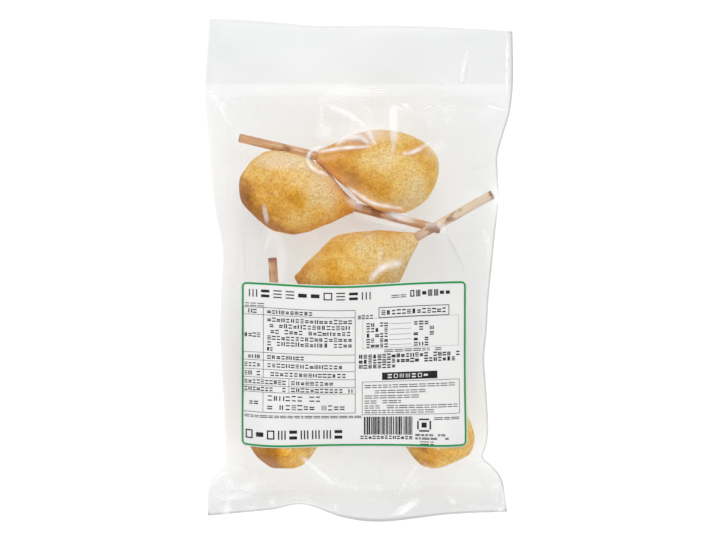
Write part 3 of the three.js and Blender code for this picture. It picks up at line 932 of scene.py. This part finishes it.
def filmSheet(levels, columns, heights):
    # one film as a grid: its mesh, and each point's share, level, place and height
    mesh, share, up = flatGrid("sheet", columns, len(levels) - 1)
    share = np.clip(share, 0, 1)
    level = np.interp(up, np.linspace(0, 1, len(levels)), levels)
    x, y = outlinePoint(share, level)
    return mesh, share, level, x, y, readGrid(heights, share, level)


def edgeShares(share, level):
    # the distance from a side seam, how loose the film is, how far it curls down, and what is welded
    s = filmShape
    fromSide = np.minimum(share, 1 - share) * (rightSeam(level) - leftSeam(level))
    loose = s["seamSlack"] + (1 - s["seamSlack"]) * smoothStep(0, s["seamReach"], fromSide)
    fromEnd = np.minimum(level - bagOutline["rowLow"], bagOutline["rowHigh"] - level)
    rim = 1 - smoothStep(0, s["rimReach"], np.minimum(fromSide, fromEnd))
    return fromSide, loose, rim, (level >= s["topWeld"]) | (level <= s["bottomWeld"])


# the density along the bag, and painted shade that darkens the film towards the right
def densityAt(share, level):
    return filmDensity(level), filmShape["rightPaintedShade"] * smoothStep(filmShape["sideFrom"], 1, share)


def upperFilm(settledFilm, levels):
    # lies on the contents and under the label, creased, whitened by painted highlights and darkened
    # by painted shade and shadow in places
    s = filmShape
    mesh, share, level, x, y, z = filmSheet(levels, s["columns"], settledFilm["upper"])
    below, tops, bridged = (readGrid(settledFilm[k], share, level) for k in ("lower", "tops", "bridged"))
    fromSide, loose, rim, welded = edgeShares(share, level)
    rise, veil, shade = creaseRelief(x, y)
    uneven = slackRelief(x, y)
    raised = np.maximum(z + (rise + uneven) * loose, below + s["leastGap"])
    raised = np.where(welded, np.maximum(raised, z + uneven * loose), raised)
    height = np.maximum(raised, tops)
    height = np.where(onLabel(x, y), np.minimum(height, bridged + labelShape["filmTop"]), height)
    height -= rim * np.minimum(s["rimDrop"], height - s["rimLowest"][1])
    # the creases alone, to read how steeply they fold
    setMeshPoints(mesh, np.column_stack([x, y, rise]))
    leaning = readRows(mesh.vertex_normals, "vector")
    slope = np.hypot(leaning[:, 0], leaning[:, 1]) / np.maximum(np.abs(leaning[:, 2]), 0.05)
    # painted shadow: the rims at the right and the bottom are darkest, as a cast shadow there would be
    shadowedRim = ((share > 0.5) & (fromSide < s["shadowRimReach"])) | (level - bagOutline["rowLow"] < s["shadowRimReach"])
    # painted shade: creases and their steep flanks pass less light
    dense = np.maximum(shade, s["foldPaintedShade"] * smoothStep(*s["foldSlopes"], slope))
    # painted shade: the film is darker towards the right
    alongBag, shadeToRight = densityAt(share, level)
    dense = np.maximum(dense, alongBag) + shadeToRight
    dense = np.maximum(dense, np.where(shadowedRim, s["rimPaintedShadow"][1], s["rimPaintedShadow"][0]) * rim)
    ribbed = np.zeros_like(x)
    for left, right, low, high in s["ribBands"]:
        inside = np.minimum.reduce([x - left, right - x, y - low, high - y])
        ribbed = np.maximum(ribbed, smoothStep(0, 1.0, inside))
    haze = s["haze"] * smoothStep(*s["hazeGap"], height - tops)
    pointAttribute(mesh, "dense", dense)
    pointAttribute(mesh, "ribs", ribbed)
    # painted highlights of creases and patches, with the film's haze
    pointAttribute(mesh, "veil", 1 - (1 - haze) * (1 - veil) * (1 - paintedHighlightOfPatches(x, y)))
    setMeshPoints(mesh, np.column_stack([x, y, height]))
    return mesh


def lowerFilm(settledFilm, levels):
    # the same outline at half the fineness, fallen to the floor
    s = filmShape
    mesh, share, level, x, y, z = filmSheet(levels[::2], s["columns"] // 2, settledFilm["lower"])
    _, loose, rim, welded = edgeShares(share, level)
    z = z + np.where(welded, slackRelief(x, y) * loose, 0)
    z = z - rim * np.minimum(s["rimDrop"], z - s["rimLowest"][0])
    setMeshPoints(mesh, np.column_stack([x, y, np.maximum(z, s["floorGap"])]))
    pointAttribute(mesh, "veil", np.full(len(x), s["lowerHaze"]))
    pointAttribute(mesh, "dense", sum(densityAt(share, level)))
    pointAttribute(mesh, "ribs", np.zeros(len(x)))
    return mesh


def makeFilm(settledFilm, material):
    levels = rowLevels()
    bm = bmesh.new()
    bm.from_mesh(lowerFilm(settledFilm, levels))
    bmesh.ops.reverse_faces(bm, faces=bm.faces)
    bm.from_mesh(upperFilm(settledFilm, levels))
    bmesh.ops.bridge_loops(bm, edges=[edge for edge in bm.edges if edge.is_boundary])
    bmesh.ops.recalc_face_normals(bm, faces=bm.faces)
    openEdges = sum(not edge.is_manifold for edge in bm.edges)
    mesh = meshOf(bm, "film")
    finishPiece("film", mesh, readRows(mesh.vertices, "co"), material, "bag")
    print("film made:", len(mesh.polygons), "faces,", openEdges, "open edges")


def labelPoint(u, v, sheet):
    # from millimetres on the label, (0, 0) at its lower left, to the layout
    s = labelShape
    x = s["left"] + u
    bow = s["bow"] * bump(x - s["bowX"], s["bowWidth"])
    y = s["bottom"] + v * (1 - bow / s["height"])
    share = (x - leftSeam(y)) / (rightSeam(y) - leftSeam(y))
    return np.column_stack([x, y, readGrid(sheet, share, y) + s["gap"] + s["thickness"]])


def thicken(piece, name, thickness, offset):
    # offset -1 grows it below its face, and 1 above
    solid = piece.modifiers.new(name, "SOLIDIFY")
    solid.thickness = thickness * mm
    solid.offset = offset


def makeLabel(sheet, material):
    s = labelShape
    mesh, across, up = flatGrid("label_sheet", s["columns"], s["rows"])
    v = up * s["height"]
    short = np.clip(s["corner"] - np.minimum(v, s["height"] - v), 0, s["corner"])
    inset = s["corner"] - np.sqrt(s["corner"] ** 2 - short ** 2)
    u = inset + across * (s["width"] - 2 * inset)
    piece = finishPiece("label_sheet", mesh, labelPoint(u, v, sheet), material, "label")
    thicken(piece, "paper", s["thickness"], -1.0)
    print("label made")


printShape = {
    "borderInset": 0.45,
    "borderWidth": 0.95,
    "borderCorner": 2.2,
    "borderCells": 400,
    "inkRise": 0.05,  # over the label, and of the reversed print over the block
    "whiteRise": 0.11,
    "inkThickness": 0.04,
    "cell": 1.5,  # longest side of a bar's faces, so that it follows the label
    "line": 0.18,  # a table rule
    "boldness": 1.22,  # of the small marks, and more where there are only two dashes
    "twoDashes": 1.45,
    "markWide": (0.62, 0.86),  # shares of the pitch
    "markTall": (0.86, 1),
    "markDashes": [(0, 1), (0, 1), (0, 0.5, 1), (0.1, 0.7)],
    "posts": 0.2,  # share of the marks that stand upright
    "fineLine": 0.34,  # a dash in the smallest rows, and its lengths in pitches
    "fineLong": (0.8, 3.2),
    "fineGap": 0.4,
    "shapeSpan": (0.1, 0.78),  # of a large shape in its pitch
    "blockInset": 0.25,  # shares of its height
    "pairLine": 0.35,
    "seed": 9,
}


class InkLayout:
    # gathers plain bars, in millimetres on the label
    def __init__(self, seed):
        self.bars = []
        self.draw = random.Random(seed)

    def bar(self, u0, v0, u1, v1):
        self.bars.append((u0, v0, u1, v1))

    def stack(self, u0, v0, u1, v1, line, shares, posts=False):
        # parallel dashes, or posts, at shares of the way through a box
        for share in shares:
            if posts:
                at = u0 + share * (u1 - u0 - line)
                self.bar(at, v0, at + line, v1)
            else:
                at = v0 + share * (v1 - v0 - line)
                self.bar(u0, at, u1, at + line)

    def frame(self, u0, v0, u1, v1, line):
        self.stack(u0, v0, u1, v1, line, (0, 1))
        self.stack(u0, v0, u1, v1, line, (0, 1), posts=True)

    def dashes(self, u0, v0, u1, v1, line, dash, gap):
        # a dashed frame
        for v in (v0, v1):
            for u in np.arange(u0, u1, dash + gap):
                self.bar(u, v, min(u + dash, u1), v + line)
        for u in (u0, u1):
            for v in np.arange(v0, v1, dash + gap):
                self.bar(u, v, u + line, min(v + dash, v1))

    def row(self, u0, u1, middle, height, pitch, weight, gaps=0.05):
        # a row of small marks in place of print, each of two or three loose dashes or posts
        p = printShape
        weight *= p["boldness"]
        low = middle - height / 2
        u = u0
        while u + pitch * 0.8 <= u1:
            if self.draw.random() > gaps:
                wide = pitch * self.draw.uniform(*p["markWide"])
                start = u + (pitch - wide) / 2
                tall = height * self.draw.uniform(*p["markTall"])
                shares = self.draw.choice(p["markDashes"])
                thick = weight * (p["twoDashes"] if len(shares) == 2 else 1.0)
                posts = self.draw.random() < p["posts"]
                self.stack(start, low, start + wide, low + tall, thick, shares, posts)
            u += pitch

    def fineRow(self, u0, u1, middle, height, pitch, gaps=0.05):
        # a row too small for marks: pairs of thin dashes of uneven length
        p = printShape
        low = middle - height / 2
        u = u0
        while u < u1 - pitch / 2:
            wide = min(pitch * self.draw.uniform(*p["fineLong"]), u1 - u)
            if self.draw.random() > gaps:
                self.stack(u, low, u + wide, low + height, p["fineLine"], (0, 1))
            u += wide + p["fineGap"] * pitch

    def shapes(self, u0, u1, middle, height, pitch, weight):
        # a row of large plain shapes: boxes, blocks and stacked bars
        p = printShape
        low, high = middle - height / 2, middle + height / 2
        inset = p["blockInset"] * height
        u = u0
        while u + pitch * 0.8 <= u1:
            left, right = (u + share * pitch for share in p["shapeSpan"])
            kind = self.draw.choice(["box", "block", "stack", "posts", "pair"])
            if kind == "box":
                self.frame(left, low, right, high, weight)
            elif kind == "block":
                self.bar(left, low + inset, right, high - inset)
            elif kind == "pair":
                self.stack(left, low, right, high, p["pairLine"] * height, (0, 1))
            else:
                self.stack(left, low, right, high, weight, (0, 0.5, 1), kind == "posts")
            u += pitch


def layOutPrint():
    # the panel's frames, rows and bars, without any words
    ink = InkLayout(printShape["seed"])
    line = printShape["line"]
    ink.shapes(3.4, 64.5, 74.9, 3.7, 6.1, 0.52)
    ink.fineRow(73.0, 80.7, 73.9, 1.3, 1.3, 0.0)
    ink.shapes(81.8, 101.6, 74.9, 3.2, 2.9, 0.5)
    ink.fineRow(2.0, 12.6, 69.3, 1.5, 1.5, 0.0)
    ink.row(56.8, 64.4, 64.6, 2.0, 1.9, 0.3)
    # the table on the left
    ink.frame(0.9, 17.1, 55.8, 68.1, 0.22)
    for v in (64.4, 46.0, 42.2, 37.8, 33.8, 29.9, 26.7):
        ink.bar(0.9, v, 55.8, v + line)
    for u, low, high in ((11.2, 33.8, 68.0), (23.8, 26.7, 33.8), (11.2, 17.2, 26.7)):
        ink.bar(u, low, u + line, high)
    for u0, u1, v, height, pitch in (
            (3.5, 9.0, 66.2, 2.0, 2.3), (13.0, 36.5, 66.2, 1.9, 2.25),
            (13.0, 55.4, 62.4, 2.1, 2.3), (14.2, 55.0, 59.5, 2.1, 2.3), (14.6, 55.4, 56.6, 2.1, 2.3),
            (13.0, 54.2, 53.6, 2.1, 2.3), (13.0, 55.4, 50.8, 2.1, 2.3), (13.0, 15.8, 48.0, 1.7, 1.5),
            (1.5, 10.8, 54.6, 2.2, 2.1), (3.2, 10.6, 44.1, 2.0, 2.3), (13.0, 31.0, 44.1, 1.9, 2.3),
            (1.5, 10.8, 40.1, 2.1, 2.1), (13.0, 50.5, 40.1, 2.0, 2.3), (1.5, 10.8, 35.9, 2.1, 2.1),
            (14.6, 52.5, 35.9, 2.0, 2.3), (1.5, 23.2, 31.9, 2.1, 2.1), (24.7, 46.5, 31.9, 2.0, 2.3),
            (1.5, 23.2, 28.4, 2.0, 2.1), (24.7, 55.0, 28.4, 2.0, 2.3), (4.0, 10.8, 21.9, 2.4, 2.5),
            (13.2, 39.5, 24.2, 2.6, 2.9), (13.2, 50.5, 19.9, 2.6, 2.9)):
        ink.row(u0, u1, v, height, pitch, 0.3)
    ink.fineRow(2.0, 59.0, 15.2, 1.1, 1.3, 0.1)
    ink.shapes(2.0, 50.6, 6.4, 4.4, 5.4, 0.62)
    # the right side
    ink.frame(66.9, 63.8, 101.2, 68.9, 0.3)
    ink.row(68.0, 100.4, 66.4, 2.4, 2.45, 0.34)
    ink.dashes(59.3, 48.9, 105.8, 63.6, 0.14, 0.6, 0.5)
    for v in (60.6, 58.0, 55.4, 52.9, 50.4):
        ink.row(60.8, 71.4, v, 2.0, 2.15, 0.32, 0.12)
        ink.bar(72.0, v, 82.5, v + 0.12)
        ink.row(83.5, 94.5, v, 1.8, 2.6, 0.32, 0.35)
    ink.fineRow(69.6, 97.3, 47.6, 1.2, 1.5)
    ink.row(57.2, 106.6, 45.2, 2.1, 2.25, 0.36, 0.04)
    ink.row(57.2, 107.0, 42.7, 2.1, 2.25, 0.36, 0.04)
    ink.row(57.2, 74.8, 40.2, 2.0, 2.25, 0.34)
    ink.frame(59.0, 16.2, 106.3, 32.7, line)
    for v, end in ((30.3, 105.2), (27.6, 89.5), (25.1, 86.7), (22.6, 77.7), (20.1, 105.2),
                   (17.8, 94.6)):
        ink.fineRow(60.2, end, v, 1.4, 1.4, 0.1)
    ink.fineRow(93.6, 106.2, 14.1, 1.1, 1.6, 0.2)
    ink.fineRow(84.6, 99.0, 6.1, 0.9, 1.2)
    ink.fineRow(84.6, 100.6, 4.4, 0.9, 1.2)
    ink.fineRow(87.0, 93.4, 2.2, 1.5, 1.6, 0.0)
    ink.row(58.0, 83.6, 4.8, 1.8, 1.95, 0.3, 0.0)
    # bars and spaces of whole quarter millimetres
    u, unit = 59.9, 0.25
    while u < 83.2:
        wide = unit * ink.draw.choice([1, 1, 2, 2, 2, 3])
        ink.bar(u, 6.2, u + wide, 15.2)
        u += wide + unit * ink.draw.choice([1, 1, 1, 2])
    # an open-cornered square ring round a block, and the wide block for the reversed shapes
    for box in ((86.4, 13.4, 91.2, 14.1), (86.4, 7.8, 91.2, 8.5), (85.5, 8.9, 86.2, 13.0),
                (91.4, 8.9, 92.1, 13.0), (87.6, 9.8, 90.0, 12.2), (68.6, 33.4, 95.3, 37.0)):
        ink.bar(*box)
    white = InkLayout(printShape["seed"] + 1)
    white.shapes(71.0, 93.5, 35.2, 2.0, 2.9, 0.34)
    return ink.bars, white.bars


def inkPiece(name, bm, material, sheet, rise):
    # lays flat print on the label's upper face and gives it a thickness
    mesh = meshOf(bm, name)
    flat = readRows(mesh.vertices, "co")
    points = labelPoint(flat[:, 0], flat[:, 1], sheet)
    points[:, 2] += rise
    piece = finishPiece(name, mesh, points, material)
    thicken(piece, "ink", printShape["inkThickness"], 1.0)


def makeBars(name, bars, material, sheet, rise):
    bm = bmesh.new()
    cell = printShape["cell"]
    for u0, v0, u1, v1 in bars:
        across, along = max(1, round((u1 - u0) / cell)), max(1, round((v1 - v0) / cell))
        made = bmesh.ops.create_grid(bm, x_segments=across, y_segments=along, size=0.5)["verts"]
        bmesh.ops.scale(bm, verts=made, vec=(u1 - u0, v1 - v0, 1))
        bmesh.ops.translate(bm, verts=made, vec=((u0 + u1) / 2, (v0 + v1) / 2, 0))
    inkPiece(name, bm, material, sheet, rise)


def makeBorder(material, sheet):
    # a strip round the label: a grid whose length follows a rounded rectangle
    s, p = labelShape, printShape
    mesh, turn, inwards = flatGrid("strip", p["borderCells"], 1)
    radius = p["borderCorner"]
    halfWide = s["width"] / 2 - p["borderInset"] - radius
    halfTall = s["height"] / 2 - p["borderInset"] - radius
    arc = math.pi / 2 * radius
    lengths = np.cumsum([0] + [2 * halfTall, arc, 2 * halfWide, arc] * 2)
    at = turn * lengths[-1]
    # up the right side first: the corner's middle moves along each straight, and the lead turns
    # round each corner
    middleX = np.interp(at, lengths, halfWide * np.array([1, 1, 1, -1, -1, -1, -1, 1, 1]))
    middleY = np.interp(at, lengths, halfTall * np.array([-1, 1, 1, 1, 1, -1, -1, -1, -1]))
    lead = np.interp(at, lengths, math.pi / 2 * np.array([0, 0, 1, 1, 2, 2, 3, 3, 4]))
    out = radius - inwards * p["borderWidth"]
    u = s["width"] / 2 + middleX + out * np.cos(lead)
    v = s["height"] / 2 + middleY + out * np.sin(lead)
    setMeshPoints(mesh, np.column_stack([u, v, np.zeros_like(u)]))
    bm = bmesh.new()
    bm.from_mesh(mesh)
    bmesh.ops.remove_doubles(bm, verts=bm.verts, dist=0.005)  # closes the ring
    bmesh.ops.recalc_face_normals(bm, faces=bm.faces)
    if sum(face.normal.z for face in bm.faces) < 0:
        bmesh.ops.reverse_faces(bm, faces=bm.faces)
    inkPiece("label_border", bm, material, sheet, p["inkRise"])


softboxes = [
    # azimuth from +X, elevation, metres away, width and height, watts
    {"name": "key", "azimuth": 75, "elevation": 60, "away": 3.6, "size": (2.4, 2.4), "power": 28.5},
    {"name": "top", "azimuth": 95, "elevation": 36, "away": 1.2, "size": (0.7, 0.08), "power": 0.8},
    {"name": "left", "azimuth": 185, "elevation": 35, "away": 1.2, "size": (0.6, 0.08), "power": 0.7},
    {"name": "front", "azimuth": 280, "elevation": 38, "away": 1.2, "size": (0.6, 0.07), "power": 0.9},
]
# The tent's brightness from the floor line to the zenith: (height of the direction, grey). The
# camera looks in through a darker opening at the top, so film that lies flat mirrors little.
studio = {
    "tent": [(0.03, "#F2F2F2"), (0.06, "#8C8C8C"), (0.35, "#D9D9D9"), (0.8, "#F8F8F8"),
             (0.91, "#F8F8F8"), (0.965, "#6A6A6A")],
    "tentStrength": 1.05,
    "tableGlow": 0.57,
    "floorSide": 24.0,
    "floorCells": 8,
    "floorDrop": 0.0001,  # below the lowest film, so that the two don't flicker
    "cameraHeight": 0.9,
    "lens": 90.0,
    "sensor": 36.0,
}


def makeFloor(material):
    mesh = flatGrid("floor", studio["floorCells"], studio["floorCells"])[0]
    setMeshPoints(mesh, readRows(mesh.vertices, "co") * studio["floorSide"])
    mesh.materials.append(material)
    floor = bpy.data.objects.new("floor", mesh)
    floor.location.z = -studio["floorDrop"]
    bpy.context.scene.collection.objects.link(floor)


def makeLights():
    for box in softboxes:
        light = bpy.data.lights.new(box["name"], "AREA")
        light.shape = "RECTANGLE"
        light.size, light.size_y = box["size"]
        light.energy = box["power"]
        lamp = bpy.data.objects.new(box["name"], light)
        turn, rise = math.radians(box["azimuth"]), math.radians(box["elevation"])
        lamp.location = Vector((math.cos(turn) * math.cos(rise), math.sin(turn) * math.cos(rise),
                                math.sin(rise))) * box["away"]
        lamp.rotation_euler = (-lamp.location).to_track_quat("-Z", "Y").to_euler()
        bpy.context.scene.collection.objects.link(lamp)
    world = bpy.data.worlds.new("light tent")
    world.use_nodes = True
    lead = addNode(world, "TexCoord", "Generated")
    height = addNode(world, "SeparateXYZ", "Z", None, Vector=lead)
    grey = addNode(world, "ValToRGB", "Color", {"stops": studio["tent"]}, i0=height)
    background = world.node_tree.nodes["Background"]
    background.inputs["Strength"].default_value = studio["tentStrength"]
    world.node_tree.links.new(grey, background.inputs["Color"])
    bpy.context.scene.world = world


def makeCamera():
    data = bpy.data.cameras.new("camera")
    data.lens, data.sensor_width = studio["lens"], studio["sensor"]
    camera = bpy.data.objects.new("camera", data)
    camera.location = Vector((shift[0] * mm, shift[1] * mm, studio["cameraHeight"]))
    bpy.context.scene.collection.objects.link(camera)
    bpy.context.scene.camera = camera


bpy.context.scene.view_settings.view_transform = "Standard"
batter, wood, film = friedBatter(), splitWood(), clearFilm()
# coated label paper: nearly white, faint calendered tooth, satin
paper = plainStock("coated label paper", 30, [(0.35, "#E9E9E8"), (0.65, "#EDEDEC")],
                   {"Roughness": 0.42, "Specular IOR Level": 0.4}, toothMm=0.8)
# flexo inks: flat colour, a little thin where the paper's tooth shows
inkFinish = {"Roughness": 0.5, "Specular IOR Level": 0.3}
black = plainStock("black ink", 0.5, [(0.30, "#262626"), (0.42, "#101010")], inkFinish)
green = plainStock("green ink", 0.5, [(0.30, "#1A9E54"), (0.42, "#0E9448")], inkFinish)
# opal acrylic table, lit a little from below
opal = plainStock("pale floor", 1000 / 6, [(0.3, "#C6C6C6"), (0.7, "#C8C8C8")],
                  {"Roughness": 0.9, "Specular IOR Level": 0.1, "Emission Color": "#FFFFFF",
                   "Emission Strength": studio["tableGlow"]})
contents = []
for dog in dogs:
    contents += [makeBatter(dog, batter), makeStick(dog, wood)]
print("corn dogs made")
settledFilm = settleFilm(np.vstack(contents))
print("film settled")
makeFilm(settledFilm, film)
sheet = settledFilm["bridged"]
makeLabel(sheet, paper)
blackBars, whiteBars = layOutPrint()
makeBars("label_print", blackBars, black, sheet, printShape["inkRise"])
makeBars("label_reversed_print", whiteBars, paper, sheet, printShape["whiteRise"])
makeBorder(green, sheet)
print("print made")
makeFloor(opal)
makeLights()
makeCamera()
